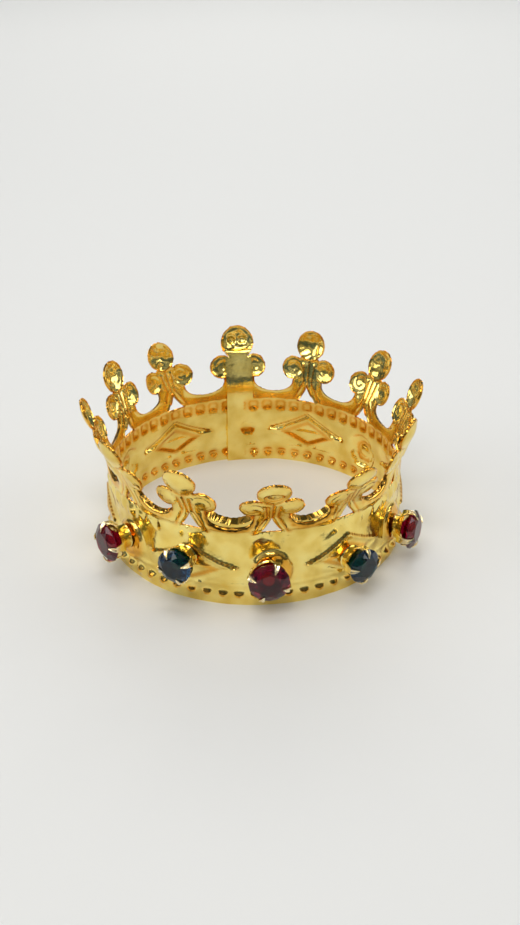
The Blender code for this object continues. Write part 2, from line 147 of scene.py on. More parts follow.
def add_noise(nodes, links, vector, scale, detail=3.0, roughness=0.5):
    node = nodes.new("ShaderNodeTexNoise")
    node.inputs["Scale"].default_value = scale
    node.inputs["Detail"].default_value = detail
    node.inputs["Roughness"].default_value = roughness
    links.new(vector, node.inputs["Vector"])
    return node.outputs["Fac"]


def add_ramp(nodes, links, factor, stops):
    node = nodes.new("ShaderNodeValToRGB")
    links.new(factor, node.inputs["Fac"])
    ramp = node.color_ramp
    while len(ramp.elements) < len(stops):
        ramp.elements.new(0.5)
    for element, (place, colour) in zip(ramp.elements, stops):
        element.position = place
        element.color = (*colour, 1.0)
    return node.outputs["Color"]


def multiplied(nodes, links, first, second):
    mix = nodes.new("ShaderNodeMix")
    mix.data_type = "RGBA"
    mix.blend_type = "MULTIPLY"
    mix.inputs["Factor"].default_value = 1.0
    links.new(first, mix.inputs[6])
    links.new(second, mix.inputs[7])
    return mix.outputs[2]


def gilt_material():
    """Bright gilding with painted shade: warmer and duller, down to near black, where the painted shade
    attribute says so.
    """
    made, nodes, links, shader = new_material("gilding")
    place = nodes.new("ShaderNodeTexCoord").outputs["Object"]
    painted_shade = nodes.new("ShaderNodeAttribute")
    painted_shade.attribute_name = "painted_shade"
    patches = add_noise(nodes, links, place, 260.0, 3.0)
    tone = add_ramp(nodes, links, patches, (
        (0.30, (0.94, 0.68, 0.16)), (0.52, (1.0, 0.78, 0.23)), (0.75, (1.0, 0.84, 0.30))))
    clouds = add_noise(nodes, links, place, 130.0, 2.0)
    shade = add_ramp(nodes, links, clouds, ((0.34, (0.84, 0.80, 0.68)), (0.56, (1.0, 1.0, 1.0))))
    tone = multiplied(nodes, links, tone, shade)
    # Painted shade: orange-brown in hollows and creases, near black on the deep cut edges
    shade_tint = add_ramp(nodes, links, painted_shade.outputs["Fac"], (
        (0.0, (1.0, 1.0, 1.0)), (0.35, (0.92, 0.60, 0.28)), (1.0, (0.07, 0.05, 0.04))))
    links.new(multiplied(nodes, links, tone, shade_tint), shader.inputs["Base Color"])
    shader.inputs["Metallic"].default_value = 1.0
    wear = add_noise(nodes, links, place, 1400.0, 4.0)
    rough = nodes.new("ShaderNodeMapRange")
    rough.inputs["To Min"].default_value = 0.09
    rough.inputs["To Max"].default_value = 0.24
    links.new(wear, rough.inputs["Value"])
    links.new(rough.outputs["Result"], shader.inputs["Roughness"])
    bump = nodes.new("ShaderNodeBump")
    bump.inputs["Strength"].default_value = 0.12
    bump.inputs["Distance"].default_value = 0.0003
    ripple = add_noise(nodes, links, place, 900.0, 2.0)
    links.new(ripple, bump.inputs["Height"])
    links.new(bump.outputs["Normal"], shader.inputs["Normal"])
    return made


def pale_material():
    """The claws' thinner, paler gilding."""
    made, nodes, links, shader = new_material("pale_gilding")
    place = nodes.new("ShaderNodeTexCoord").outputs["Object"]
    wear = add_noise(nodes, links, place, 1800.0, 2.0)
    links.new(add_ramp(nodes, links, wear, ((0.35, (1.0, 0.78, 0.36)), (0.65, (1.0, 0.90, 0.64)))),
              shader.inputs["Base Color"])
    shader.inputs["Metallic"].default_value = 1.0
    shader.inputs["Roughness"].default_value = 0.22
    return made


GLASS_COLOURS = {"red": (0.22, 0.003, 0.022), "blue": (0.003, 0.05, 0.13)}


def glass_material(glass):
    """Coloured glass, a little uneven inside."""
    made, nodes, links, shader = new_material(glass + "_glass_looks")
    place = nodes.new("ShaderNodeTexCoord").outputs["Object"]
    colour = GLASS_COLOURS[glass]
    deeper = tuple(part * 0.6 for part in colour)
    cloud = add_noise(nodes, links, place, 300.0, 2.0)
    links.new(add_ramp(nodes, links, cloud, ((0.3, deeper), (0.7, colour))), shader.inputs["Base Color"])
    shader.inputs["Transmission Weight"].default_value = 0.95
    shader.inputs["IOR"].default_value = 1.52
    shader.inputs["Specular IOR Level"].default_value = 0.2
    shader.inputs["Roughness"].default_value = 0.02
    return made


# Outlines of one fleuron, u along the strip from its middle and v up it

def arc(centre, radius_u, radius_v, start, end, step=EDGE_STEP):
    """Points along an elliptical arc, angles in degrees."""
    length = math.radians(abs(end - start)) * (radius_u + radius_v) / 2
    count = max(2, round(length / step))
    points = []
    for number in range(count + 1):
        angle = math.radians(start + (end - start) * number / count)
        points.append((centre[0] + radius_u * math.cos(angle), centre[1] + radius_v * math.sin(angle)))
    return points


def straight(first, last, step=EDGE_STEP):
    count = max(1, round(math.dist(first, last) / step))
    return [(first[0] + (last[0] - first[0]) * n / count, first[1] + (last[1] - first[1]) * n / count)
            for n in range(count + 1)]


def mirrored(points):
    return [(-u, v) for u, v in reversed(points)]


def top_lobe_radius(unit):
    return LAP_LOBE_RADIUS if unit == LAP_UNIT else TOP_LOBE_RADIUS


def shoulder_angle():
    return math.degrees(math.atan2(TOP_LOBE_HEIGHT - SIDE_LOBE_HEIGHT, -SIDE_LOBE_OFFSET))


def crest_outline(unit):
    """The upper edge from the left valley over the three lobes to the right valley."""
    radius = top_lobe_radius(unit)
    shoulder = shoulder_angle()
    top = arc((0, TOP_LOBE_HEIGHT), radius, radius, 90, shoulder - 180)
    side = arc((SIDE_LOBE_OFFSET, SIDE_LOBE_HEIGHT), SIDE_LOBE_RADIUS, SIDE_LOBE_RADIUS, shoulder, -96)
    scroll = arc((PITCH / 2, VALLEY_HEIGHT + SCROLL_DEPTH), SCROLL_HALF_WIDTH, SCROLL_DEPTH, 186, 270)
    right = top + straight(top[-1], side[0])[1:-1] + side + straight(side[-1], scroll[0])[1:-1] + scroll
    return mirrored(right) + right[1:]


def eyelet_outline():
    """The triangular opening between the feet of two scrolls."""
    side = []
    steps = 12
    for step in range(steps + 1):
        share = step / steps
        bow = EYELET_BOW * 4 * share * (1 - share)
        height = BAND_HEIGHT + (EYELET_APEX - BAND_HEIGHT) * share
        side.append((EYELET_HALF_BASE * (1 - share) - bow, height))
    base = straight((-EYELET_HALF_BASE, BAND_HEIGHT), (EYELET_HALF_BASE, BAND_HEIGHT))
    return side + mirrored(side)[1:] + base[1:-1]


def contains(polygon, u, v):
    """Which of many points lie inside a polygon."""
    inside = np.zeros(len(u), bool)
    for (u1, v1), (u2, v2) in zip(polygon, polygon[1:] + polygon[:1]):
        if v1 == v2:
            continue
        across = ((v1 > v) != (v2 > v)) & (u < u1 + (v - v1) / (v2 - v1) * (u2 - u1))
        inside ^= across
    return inside


# Lines pressed into the sheet, along which its puffed ribbons meet

def volute_groove():
    """The spiral of the right side lobe, from the notch under it to its eye."""
    points = []
    steps = 26
    for step in range(steps + 1):
        share = step / steps
        angle = math.radians(262 - 400 * share)
        radius = SIDE_LOBE_RADIUS * (0.98 - 0.62 * share ** 0.7)
        across = SIDE_LOBE_OFFSET + radius * math.cos(angle)
        points.append((across, SIDE_LOBE_HEIGHT + radius * math.sin(angle)))
    return points


def crease_lines(unit):
    rib = straight((EYELET_HALF_BASE + LEG_WIDTH, BAND_HEIGHT), (LEG_WIDTH, EYELET_APEX + 0.0010))
    rib += straight((LEG_WIDTH, EYELET_APEX + 0.0010), (0.0014, SIDE_LOBE_HEIGHT + 0.0010))[1:]
    radius = top_lobe_radius(unit)
    shoulder = shoulder_angle()
    neck = arc((0, TOP_LOBE_HEIGHT), radius, radius, shoulder - 180, -shoulder)
    lines = [rib, mirrored(rib), neck]
    if unit != LAP_UNIT:
        lines.append(straight((0, EYELET_APEX), (0, TOP_LOBE_HEIGHT - radius)))
    return lines


def volute_lines(unit):
    return [volute_groove(), mirrored(volute_groove())]


class Drawing:
    """The flat strip: points, and the lines between them that the mesh keeps."""

    def __init__(self):
        self.points = []
        self.edges = []
        self.index = {}

    def point(self, u, v):
        key = (round(u / SAME), round(v / SAME))
        if key not in self.index:
            self.index[key] = len(self.points)
            self.points.append((u, v))
        return self.index[key]

    def line(self, unit, places, closed=False):
        found = [self.point(unit * PITCH + u, v) for u, v in places]
        if closed:
            found.append(found[0])
        self.edges += [pair for pair in zip(found, found[1:]) if pair[0] != pair[1]]


def draw_strip():
    drawing = Drawing()
    across = UNITS * PITCH
    count = round(across / BAND_GRID)
    drawing.line(0, [(START + across * n / count, 0.0) for n in range(count + 1)])
    for unit in range(UNITS):
        drawing.line(unit, crest_outline(unit))
        if unit != LAP_UNIT:
            drawing.line(unit, eyelet_outline(), closed=True)
    for edge in (START, END):
        count = round(VALLEY_HEIGHT / BAND_GRID)
        drawing.line(0, [(edge, VALLEY_HEIGHT * n / count) for n in range(count + 1)])
    above = TOP_LOBE_HEIGHT + 2 * LAP_LOBE_RADIUS
    for edge in (-LAP_HALF_WIDTH - LAP_STEP, -LAP_HALF_WIDTH, LAP_HALF_WIDTH, LAP_HALF_WIDTH + LAP_STEP):
        drawing.line(LAP_UNIT, straight((edge, 0.0), (edge, above)))
    return drawing


def local_places(u):
    """The unit of each place along the strip, and how far it lies from that unit's middle."""
    unit = np.clip(np.floor((u - START) / PITCH + SAME).astype(int), 0, UNITS - 1)
    return unit, u - unit * PITCH


def inside_strip(u, v):
    unit, local = local_places(u)
    inside = np.zeros(len(u), bool)
    eyelet = eyelet_outline()
    for number in range(UNITS):
        mine = unit == number
        outline = [(-PITCH / 2, 0.0)] + crest_outline(number) + [(PITCH / 2, 0.0)]
        good = contains(outline, local[mine], v[mine])
        if number != LAP_UNIT:
            good &= ~contains(eyelet, local[mine], v[mine])
        inside[mine] = good
    return inside


def grid_points(bottom, top, spacing):
    """Staggered rows of points with a little fixed unevenness."""
    rows = round((top - bottom) / (spacing * math.sqrt(3) / 2))
    columns = round((END - START) / spacing)
    places = []
    for row in range(rows):
        v = bottom + (row + 0.5) * (top - bottom) / rows
        u = START + (np.arange(columns) + 0.25 + 0.5 * (row % 2)) * (END - START) / columns
        places.append(np.stack([u, np.full(columns, v)], 1))
    return np.concatenate(places)


def nearest(tree, u, v):
    return np.array([tree.find((a, b, 0.0))[2] for a, b in zip(u, v)])


def tree_of(points):
    tree = kdtree.KDTree(len(points))
    for number, (u, v) in enumerate(points):
        tree.insert((u, v, 0.0), number)
    tree.balance()
    return tree


def whole_strip(lines_of, dense):
    """Sample points along the lines of every unit, moved to their places on the strip."""
    points = []
    for unit in range(UNITS):
        for line in lines_of(unit):
            for first, last in zip(line, line[1:]):
                points += [(unit * PITCH + u, v) for u, v in straight(first, last, dense)]
    return points


def edge_lines(unit):
    lines = [crest_outline(unit)]
    if unit != LAP_UNIT:
        eyelet = eyelet_outline()
        lines.append(eyelet + eyelet[:1])
    return lines


# Relief of the sheet, outwards

def smooth(t):
    t = np.clip(t, 0.0, 1.0)
    return t * t * (3 - 2 * t)


def half_round(distance, half_width):
    return np.sqrt(np.clip(1 - (distance / half_width) ** 2, 0.0, None))


def bump_between(distance, low, high, soft):
    return smooth((distance - low) / soft) * smooth((high - distance) / soft)


def from_worn(u):
    """Nought on the worn front of the band, one at the sides and the back."""
    around = np.abs((u + UNITS * PITCH / 2) % (UNITS * PITCH) - UNITS * PITCH / 2)
    return smooth((around - WORN_FRONT) / PITCH)


# The lower row: domes with a notch under each, with painted shade in the notches
NOTCH_RISE = 0.0007             # from the middle of the beads up to where the notches end
NOTCH_SLOPE = 0.50
NOTCH_REACH = 0.0016
NOTCH_SOFT = 0.0006
NOTCH_DARK = 0.0011
NOTCH_DARK_SOFT = 0.0003
NOTCH_DARK_START = 0.0002
# Painted shade in the notches
NOTCH_SHADE = 0.75
NOTCH_SHADE_LOST = 0.4           # less painted shade at the sides and the back
DOME_RADIUS = 0.0017
DOME_DROP = 0.0003
DOME_HEIGHT = 0.00022
OUTER_DOME_MORE = 0.00035       # taller away from the worn front
INNER_DOME_MORE = 0.00018
# Painted shade on the domes, on the inner face
INNER_DOME_SHADE = 0.30

# The upper row: squarish beads on a low step
SQUARE_HALF_WIDTH = 0.00125
SQUARE_HALF_HEIGHT = 0.0012
SQUARE_POWER = 4
SQUARE_REACH = 1.2
SQUARE_SLOPE = 0.9
SQUARE_HEIGHT = 0.00045
STEP_HEIGHT = 0.00015
STEP_START = 0.0125
STEP_LENGTH = 0.0014
ROW_BOTTOM = 0.0136             # the band of painted shade behind the row, on the inner face
ROW_TOP = 0.0167
ROW_SOFT = 0.0005
# Painted shade behind the row and round each dimple, on the inner face
ROW_SHADE = 0.16
RING_FROM = 0.50
RING_TO = 1.15
RING_SOFT = 0.20
RING_SHADE = 0.30

# The plain line over the lower row
LINE_PLACE = 0.0046
LINE_HALF_WIDTH = 0.00035
LINE_HEIGHT = 0.00018


def bead_rows(u, local, v, inside):
    near = (local / BEAD_PITCH - np.round(local / BEAD_PITCH)) * BEAD_PITCH
    below = np.clip(LOWER_BEADS + NOTCH_RISE - v, 0.0, None)
    reach = np.hypot(near, below)
    height = NOTCH_SLOPE * below * smooth((NOTCH_REACH - reach) / NOTCH_SOFT)
    notch = smooth((NOTCH_DARK - reach) / NOTCH_DARK_SOFT) * smooth(below / NOTCH_DARK_START)
    dome = np.hypot(near / DOME_RADIUS, (v - LOWER_BEADS + DOME_DROP) / DOME_RADIUS)
    dome = np.clip(1 - dome ** 2, 0.0, None)
    height += (DOME_HEIGHT + (INNER_DOME_MORE if inside else OUTER_DOME_MORE) * from_worn(u)) * dome
    # Painted shade: in the notches outside, on the domes inside
    painted_shade = INNER_DOME_SHADE * dome if inside else (NOTCH_SHADE - NOTCH_SHADE_LOST * from_worn(u)) * notch
    sideways = near / SQUARE_HALF_WIDTH
    upright = (v - UPPER_BEADS) / SQUARE_HALF_HEIGHT
    square = (sideways ** SQUARE_POWER + upright ** SQUARE_POWER) ** (1 / SQUARE_POWER)
    upper = STEP_HEIGHT * smooth((v - STEP_START) / STEP_LENGTH)
    upper = upper + SQUARE_HEIGHT * np.clip((SQUARE_REACH - square) / SQUARE_SLOPE, 0.0, 1.0)
    height += LINE_HEIGHT * half_round(v - LINE_PLACE, LINE_HALF_WIDTH)
    # Painted shade in the row's dimples and round them, on the inner face
    if inside:
        row = bump_between(v, ROW_BOTTOM, ROW_TOP, ROW_SOFT)
        ring = bump_between(square, RING_FROM, RING_TO, RING_SOFT)
        painted_shade = np.maximum(painted_shade, (ROW_SHADE + RING_SHADE * ring) * row)
    return height, upper, painted_shade


# The bosses: a round plateau, a step on it and a hollow in the middle
BOSS_RADIUS = 0.0047
BOSS_HEIGHT = 0.0008
BOSS_SLOPE = 0.0010
BOSS_STEP_RADIUS = 0.0031
BOSS_STEP_HEIGHT = 0.0003
BOSS_STEP_SLOPE = 0.0007
HOLLOW_RADIUS = 0.0017
HOLLOW_DEPTH = 0.0005
HOLLOW_SLOPE = 0.0010
OPEN_RING_RADIUS = 0.0023       # the open ring of painted shade seen from inside, and the arc over it
OPEN_RING_HALF_WIDTH = 0.00050
OPEN_RING_END = 0.0017
OPEN_RING_SOFT = 0.0006
ARCH_RADIUS = 0.0040
ARCH_SOFT = 0.0003
ARCH_HEIGHT = 0.0028
ARCH_FADE = 0.0008
# Painted shade on the open ring and the arc, inner face
BOSS_LINE_SHADE = 0.42


def boss(u, v, inside, shade_tint):
    radius = np.hypot(u, v - PANEL_HEIGHT)
    height = BOSS_HEIGHT * smooth((BOSS_RADIUS - radius) / BOSS_SLOPE)
    height += BOSS_STEP_HEIGHT * smooth((BOSS_STEP_RADIUS - radius) / BOSS_STEP_SLOPE)
    height -= HOLLOW_DEPTH * smooth((HOLLOW_RADIUS - radius) / HOLLOW_SLOPE)
    if inside:
        ring = half_round(radius - OPEN_RING_RADIUS, OPEN_RING_HALF_WIDTH)
        ring = ring * smooth((u + OPEN_RING_END) / OPEN_RING_SOFT)
        arch = bump_between(radius, ARCH_RADIUS, BOSS_RADIUS, ARCH_SOFT)
        arch = arch * smooth((v - PANEL_HEIGHT - ARCH_HEIGHT) / ARCH_FADE)
        # Painted shade on the open ring and the arc inside; outside, painted shade from the stones
        return height, BOSS_LINE_SHADE * np.maximum(ring, arch)
    return height, shade_tint * smooth((BOSS_RADIUS - radius) / BOSS_SLOPE)


# The lozenges: a plateau with sloping walls, and the long ridge and dark line round it, with painted shade
# on the walls and in the line
WALL_WIDTH = 0.0013
WALL_HEIGHT = 0.00050
WALL_STRAIGHT = 0.7             # share of the wall's rise that is straight
# Painted shade on the walls
WALL_SHADE = 0.32
WALL_SOFT = 0.0003
INNER_LOW_SHADE = 1.6            # more painted shade on the lower walls on the inner face
INNER_SHADE_LOST = 0.7
INNER_SHADE_START = 0.0004
INNER_SHADE_LENGTH = 0.0008
RIDGE_HALF_WIDTH = 0.00050
RIDGE_HEIGHT = 0.00012
RIDGE_UPPER_MORE = 0.00033
RIDGE_END = 0.0006
UPPER_SIDE_SOFT = 0.0003
BEVEL_HEIGHT = 0.00040
BEVEL_START = 0.0002
BEVEL_LENGTH = 0.0024
BEVEL_PAST = 0.0010
BEVEL_FADE = 0.0020
BEVEL_LOWER = 0.4               # share of the bevel that the lower side keeps
DARK_LINE = 0.00042
DARK_LINE_HALF_WIDTH = 0.00020
DARK_LINE_START = 0.0004
DARK_LINE_DEPTH = 0.00012
# Painted shade in the dark line
DARK_LINE_SHADE = 0.95


def lozenge(u, v, inside):
    """A rhombus plateau with sloping sides inside a long pointed ridge, with painted shade on the sides and
    in a dark line by the ridge.
    """
    half_width, half_height = INNER_LOZENGE if inside else OUTER_LOZENGE
    across = np.abs(u)
    low = v - PANEL_HEIGHT + (INNER_LOZENGE_DROP if inside else 0.0)
    size = across / half_width + np.abs(low) / half_height
    slope = 1 / math.hypot(1 / half_width, 1 / half_height)
    inner = (1 - size) * slope
    wall = np.clip(inner / WALL_WIDTH, 0.0, 1.0)
    height = WALL_HEIGHT * (WALL_STRAIGHT * wall + (1 - WALL_STRAIGHT) * smooth(wall))
    # Painted shade on the sloping walls, more on the lower ones inside
    painted_shade = WALL_SHADE * bump_between(inner, 0.0, WALL_WIDTH, WALL_SOFT)
    if inside:
        painted_shade *= INNER_LOW_SHADE - INNER_SHADE_LOST * smooth((low + INNER_SHADE_START) / INNER_SHADE_LENGTH)
    up = np.abs(v - PANEL_HEIGHT)
    share = np.clip(across / FRAME_HALF_WIDTH, 0.0, 1.0)
    edge = FRAME_HALF_HEIGHT * (1 - share) - FRAME_BOW * np.sin(math.pi * share)
    gap = (up - edge) * math.cos(math.atan2(FRAME_HALF_HEIGHT, FRAME_HALF_WIDTH))
    reach = smooth((FRAME_HALF_WIDTH - across) / RIDGE_END)
    upper = smooth((v - PANEL_HEIGHT) / UPPER_SIDE_SOFT)
    height += (RIDGE_HEIGHT + RIDGE_UPPER_MORE * upper) * half_round(gap, RIDGE_HALF_WIDTH) * reach
    near = smooth((FRAME_HALF_WIDTH + BEVEL_PAST - across) / BEVEL_FADE)
    bevel = BEVEL_HEIGHT * (1 - smooth((gap - BEVEL_START) / BEVEL_LENGTH)) * near
    height += bevel * (BEVEL_LOWER + (1 - BEVEL_LOWER) * upper)
    line = np.clip(1 - np.abs(gap - DARK_LINE) / DARK_LINE_HALF_WIDTH, 0.0, None) * reach
    line = line * smooth(up / DARK_LINE_START) * upper
    height -= DARK_LINE_DEPTH * line
    painted_shade = np.maximum(painted_shade, DARK_LINE_SHADE * line)
    return height, painted_shade


def band_relief(u, unit, local, v, inside):
    height, upper, painted_shade = bead_rows(u, local, v, inside)
    for number in range(UNITS):
        mine = unit == number
        if number % 2:
            more, more_shade = lozenge(local[mine], v[mine], inside)
            height[mine] += more
            painted_shade[mine] = np.maximum(painted_shade[mine], more_shade)
        else:
            for side in (-1, 1):
                more, more_shade = lozenge(local[mine] + side * PITCH, v[mine], inside)
                height[mine] += more
                painted_shade[mine] = np.maximum(painted_shade[mine], more_shade)
            if number != LAP_UNIT:
                # Painted shade from the stones on the bosses under them
                shade_tint = BOSS_SHADE if number in SHADED_BOSSES else 0.0
                more, more_shade = boss(local[mine], v[mine], inside, shade_tint)
                height[mine] += more
                painted_shade[mine] = np.maximum(painted_shade[mine], more_shade)
    fade = smooth((BAND_HEIGHT - v) / BAND_FADE)
    return height * fade, upper * fade, painted_shade * fade


def lobe_share(local, v):
    """One in the middle of a lobe, nought on the ribbons."""
    top = np.hypot(local, v - TOP_LOBE_HEIGHT) / TOP_LOBE_RADIUS
    side = np.hypot(np.abs(local) - SIDE_LOBE_OFFSET, v - SIDE_LOBE_HEIGHT) / SIDE_LOBE_RADIUS
    return smooth((1.0 - top) / 0.3), smooth((1.0 - side) / 0.3)


RIBBON_HALF_WIDTH = 0.0012
RIBBON_BASE = 0.0003
RIBBON_HEIGHT = 0.0004
DISH_WIDTH = 0.0023
DISH_BASE = 0.0003
DISH_HEIGHT = 0.0006
CREASE_WIDTH = 0.0009
CREASE_DEPTH = 0.00035
VOLUTE_WIDTH = 0.0006
VOLUTE_DEPTH = 0.00022


def groove(distance, width):
    """One at the middle of a pressed line, nought at its sides."""
    from_line = 1 - np.clip(distance / width, 0.0, 1.0)
    return 1 - np.sqrt(np.clip(1 - from_line ** 2, 0.0, None))


def crest_relief(local, v, edge, crease, volute):
    """Puffed ribbons and domed lobes, highest away from the cut edges and the pressed lines."""
    top, side = lobe_share(local, v)
    lobe = np.maximum(top, side)
    from_edge = 1 - np.clip(edge / RIBBON_HALF_WIDTH, 0.0, 1.0)
    ribbon = RIBBON_BASE + RIBBON_HEIGHT * np.sqrt(np.clip(1 - from_edge ** 2, 0.0, None))
    from_rim = 1 - np.clip(edge / (DISH_WIDTH + 0.0010 * top), 0.0, 1.0)
    dish = DISH_BASE * smooth(edge / 0.0004) + (DISH_HEIGHT + 0.0003 * top) * (1 - from_rim ** 2)
    height = ribbon + (dish - ribbon) * lobe
    height -= CREASE_DEPTH * groove(crease, CREASE_WIDTH)
    height -= VOLUTE_DEPTH * groove(volute, VOLUTE_WIDTH)
    return height


OVAL_HALF_WIDTH = 0.0018
OVAL_HALF_HEIGHT = 0.0013
OVAL_DEPTH = 0.0004
FAR_AWAY = 9.0
DIMPLE_OFFSET = 0.0013
DIMPLE_RADIUS = 0.0009
DIMPLE_RISE = 0.0006
OUTER_DIMPLE_DEPTH = 0.0002
INNER_DIMPLE_DEPTH = 0.0006


def pressed_oval(unit, local, v):
    """One on the outline of the oval in the front fleuron's top, less inside it."""
    oval = np.hypot(local / OVAL_HALF_WIDTH, (v - TOP_LOBE_HEIGHT) / OVAL_HALF_HEIGHT)
    return np.where(unit == 0, oval, FAR_AWAY)


def top_dimples(unit, local, v, inside):
    """The small oval pressed into the front fleuron's top, and the two in the lap's."""
    front = pressed_oval(unit, local, v)
    height = -OVAL_DEPTH * smooth((1.2 - front) / 0.4)
    pair = np.hypot((np.abs(local) - DIMPLE_OFFSET) / DIMPLE_RADIUS,
                    (v - TOP_LOBE_HEIGHT - DIMPLE_RISE) / DIMPLE_RADIUS)
    deep = INNER_DIMPLE_DEPTH if inside else OUTER_DIMPLE_DEPTH
    return height + np.where(unit == LAP_UNIT, deep * smooth((1.3 - pair) / 0.8), 0.0)


def uneven(u, v, size, seed):
    """Gentle dents, the same each time."""
    angle = u / RING_RADIUS
    radius = RING_RADIUS / size
    return np.array([noise.noise(Vector((radius * math.sin(a), radius * math.cos(a), b / size + seed)))
                     for a, b in zip(angle, v)])


# Dents: depth, size and the seed of their noise
DENTS = ((0.00018, 0.0070, 3.0), (0.00006, 0.0021, 9.0))
LOBE_CRUMPLE = ((0.00030, 0.0019, 31.0), (0.00008, 0.0008, 47.0))
BOSS_CRUMPLE = 0.00022
# Where the cresting's relief starts, from the band's edge, and the length over which it rises
OUTER_RISE = (-0.0012, 0.0022)
INNER_RISE = (-0.0018, 0.0040)
# Painted shade: along the cut edges, at the foot of the cresting on the inner face, in the pressed lines and
# on the oval
OUTLINE_WIDTH = 0.0005
OUTER_OUTLINE_SHADE = 0.18
INNER_OUTLINE_SHADE = 0.34
BASE_SHADE = 0.22
LIP_DROP = 0.0008
# Painted shade, mottled, on the lip rolled down in the valleys
LIP_SHADE = 0.78
LIP_MOTTLE = 0.7
CREASE_SHADE_WIDTH = 0.00030
PRESSED_SHADE = 0.6
OVAL_SHADE_WIDTH = 0.22


def strip_relief(u, v, edge, crease, volute, inside):
    unit, local = local_places(u)
    height, upper, painted_shade = band_relief(u, unit, local, v, inside)
    start, length = INNER_RISE if inside else OUTER_RISE
    above = smooth((v - BAND_HEIGHT - start) / length)
    height += crest_relief(local, v, edge, crease, volute) * above + top_dimples(unit, local, v, inside)
    # Painted shade along the cut edges
    outline = smooth(1 - edge / OUTLINE_WIDTH) * smooth((v - BAND_HEIGHT - 0.0006) / 0.0008)
    painted_shade = np.maximum(painted_shade, (INNER_OUTLINE_SHADE if inside else OUTER_OUTLINE_SHADE) * outline)
    if inside:
        # Painted shade at the foot of the cresting, on the inner face
        base = bump_between(v, BAND_HEIGHT - 0.0004, BAND_HEIGHT + 0.0014, 0.0006)
        painted_shade = np.maximum(painted_shade, BASE_SHADE * base)
    else:
        # Painted shade, mottled, on the rolled-down lip in the valleys
        lip = front_drop(u, v, edge) / LIP_DROP
        mottled = LIP_SHADE + LIP_MOTTLE * uneven(u, v, 0.0008, 27.0)
        painted_shade = np.maximum(painted_shade, np.clip(lip, 0.0, 1.0) * mottled)
    # Painted shade in the pressed lines and on the pressed oval
    creased = np.clip(1 - crease / CREASE_SHADE_WIDTH, 0.0, None) * above
    painted_shade = np.maximum(painted_shade, PRESSED_SHADE * creased)
    oval = np.abs(pressed_oval(unit, local, v) - 1.0)
    painted_shade = np.maximum(painted_shade, PRESSED_SHADE * np.clip(1 - oval / OVAL_SHADE_WIDTH, 0.0, None))
    for depth, size, seed in DENTS:
        height += depth * uneven(u, v, size, seed)
    middle = np.where(unit % 2 == 0, np.hypot(local, v - PANEL_HEIGHT), 1.0)
    height += BOSS_CRUMPLE * smooth((0.0048 - middle) / 0.0010) * uneven(u, v, 0.0012, 17.0)
    return height, upper, painted_shade


def inner_relief(u, v, edge, crease, volute):
    """The inner face repeats the relief, crumpled in the lobes and plain where the ends lap."""
    unit, local = local_places(u)
    height, upper, painted_shade = strip_relief(u, v, edge, crease, volute, True)
    top = lobe_share(local, v)[0]
    rough = sum(depth * uneven(u, v, size, seed) for depth, size, seed in LOBE_CRUMPLE)
    inner = height + (0.25 * smooth((v - 0.0205) / 0.0020) + 0.75 * top) * rough
    behind = (unit == LAP_UNIT) & (local > LAP_PLAIN) & (local <= LAP_HALF_WIDTH + SAME)
    stem = (unit == LAP_UNIT) & (np.abs(local) <= LAP_HALF_WIDTH + SAME) & (v > BAND_HEIGHT)
    shown = smooth((v - 0.0280) / 0.0012)
    inner = np.where(behind | stem, inner * shown, inner + upper)
    painted_shade = np.where(behind | stem, painted_shade * shown, painted_shade)
    spot = np.hypot(local + LAP_DIMPLE_OFFSET, v - LAP_DIMPLE_HEIGHT) / LAP_DIMPLE_RADIUS
    spot = np.where(unit == LAP_UNIT, np.clip(1 - spot ** 2, 0.0, None), 0.0)
    # Painted shade in the lower part of the lap's inner dimple
    painted_shade = np.maximum(painted_shade, 0.5 * smooth(spot / 0.3) * smooth((LAP_DIMPLE_HEIGHT - v) / 0.0006))
    return inner + LAP_DIMPLE_DEPTH * spot, painted_shade


# Rolling the flat strip up

def bend_at(u, bends):
    bends = np.asarray(bends, float)
    unit = np.floor((u - START) / PITCH).astype(int) % UNITS
    local = (u - START) % PITCH - PITCH / 2
    share = smooth((np.abs(local) - BEND_HOLD) / (PITCH / 2 - BEND_HOLD))
    neighbour = (unit + np.where(local > 0, 1, -1)) % UNITS
    return np.radians(bends[unit] + (bends[neighbour] - bends[unit]) * share / 2)


def profile(v, lean):
    turn = lean + TAPER
    bent = np.clip(v - BEND_START, 0.0, BEND_LENGTH)
    tilt = turn * bent / BEND_LENGTH
    direction = tilt - TAPER
    bend_radius = BEND_LENGTH / turn
    rest = np.clip(v - BEND_START - BEND_LENGTH, 0.0, None)
    straight_part = np.minimum(v, BEND_START)
    radius = RING_RADIUS - straight_part * math.sin(TAPER)
    radius = radius + bend_radius * (math.cos(TAPER) - np.cos(direction)) + rest * np.sin(direction)
    height = straight_part * math.cos(TAPER)
    height = height + bend_radius * (np.sin(direction) + math.sin(TAPER)) + rest * np.cos(direction)
    return radius, height, tilt


def rolled(u, v, offset):
    unit, local = local_places(u)
    lean = bend_at(u, LEANS)
    radius, height, tilt = profile(v, lean)
    valley = profile(np.full(len(v), VALLEY_HEIGHT), lean)[0]
    spread = np.where(v > VALLEY_HEIGHT, np.clip(radius - valley, 0.0, None), 0.0)
    along = local + np.clip(v - BEND_START, 0.0, None) * np.tan(bend_at(u, SWAYS))
    angle = 2 * math.pi * unit / UNITS + along / (RING_RADIUS + spread)
    radius = radius + offset * np.cos(tilt)
    height = height - offset * np.sin(tilt)
    places = np.stack([radius * np.sin(angle), -radius * np.cos(angle), height], 1)
    return places + np.array(CENTRE)


